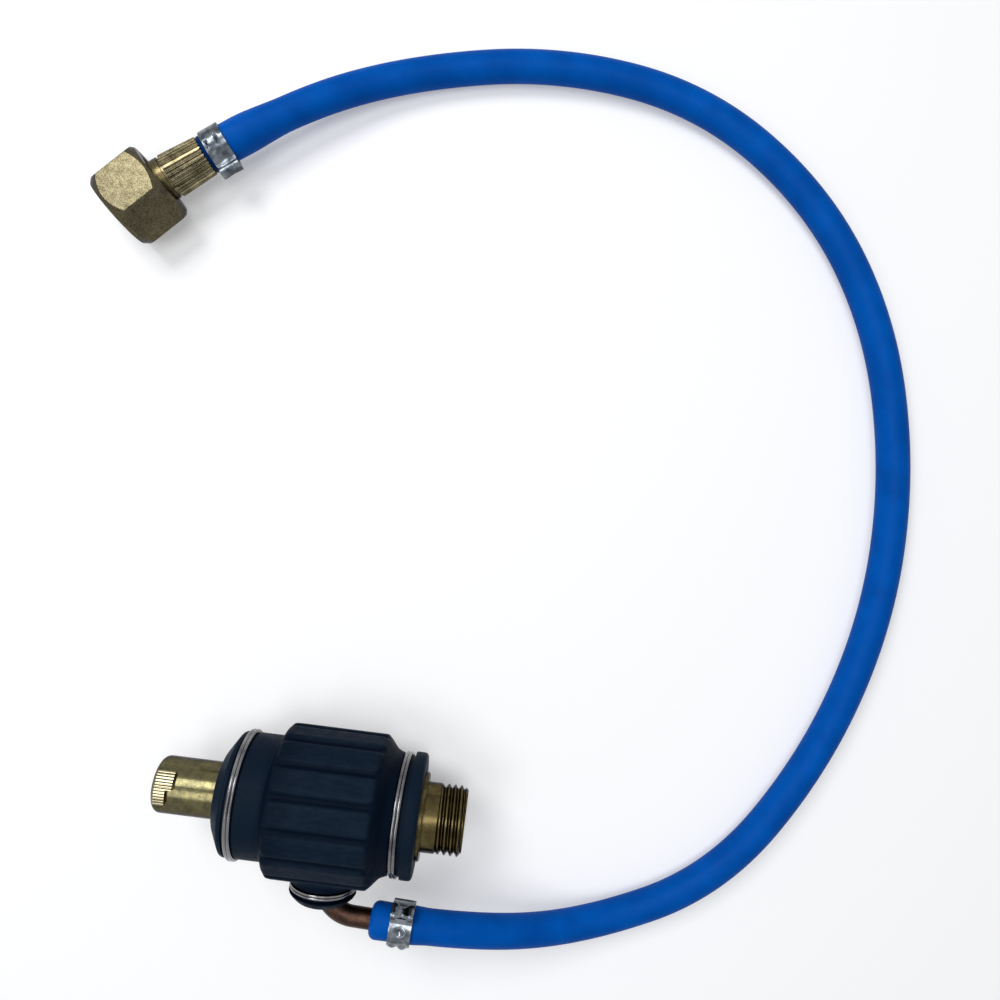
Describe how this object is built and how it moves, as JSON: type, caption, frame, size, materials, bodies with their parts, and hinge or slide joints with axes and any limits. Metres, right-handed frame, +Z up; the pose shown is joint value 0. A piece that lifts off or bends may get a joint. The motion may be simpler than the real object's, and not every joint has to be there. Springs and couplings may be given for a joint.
{
  "type": "welding torch cable connector",
  "caption": "Rubber-booted welding torch power connector with a bayonet pin, a threaded gas stud, a side gas branch and a curved blue gas hose ending in a loose swivel nut.",
  "frame": {"origin": "centre of the brass flange face that the torch lead's nut draws up to, on the connector's axis", "axes": "+X out along the threaded stud, -X along the contact pin, -Y along the gas branch, +Z up; the connector, the hose and one flat of the nut lie on a table at z = -17.5 mm"},
  "size_m": [0.2098, 0.2209, 0.035],
  "materials": {
    "pin_brass": "turned, lightly tarnished",
    "core_brass": "turned, olive tarnish",
    "tube_copper": "dull oxidised copper tube; brass stands in for copper",
    "boot_rubber": "satin moulded rubber",
    "ring_steel": "bright drawn spring wire",
    "hose_rubber": "smooth satin blue hose with a faint braid",
    "clamp_steel": "zinc-plated strip",
    "fitting_brass": "hot-pressed and turned, dull"
  },
  "bodies": {
    "connector": {"contact_pin": "pin_brass", "core_body": "core_brass", "side_boss": "core_brass", "gas_elbow": "tube_copper", "rubber_boot": "boot_rubber", "pin_end_ring": "ring_steel", "torch_end_ring": "ring_steel", "branch_ring": "ring_steel", "gas_hose": "hose_rubber", "elbow_ear_clamp": "clamp_steel", "nipple_ear_clamp": "clamp_steel", "hose_nipple": "fitting_brass", "knurled_sleeve": "fitting_brass"},
    "swivel_nut": {"swivel_nut": "fitting_brass"}
  },
  "joints": [
    {"name": "nut_spin", "type": "hinge", "parent": "connector", "child": "swivel_nut", "pos_m": [-0.0886, 0.13871, -0.008], "axis": [0.7009, 0.7133, 0], "continuous": true}
  ]
}
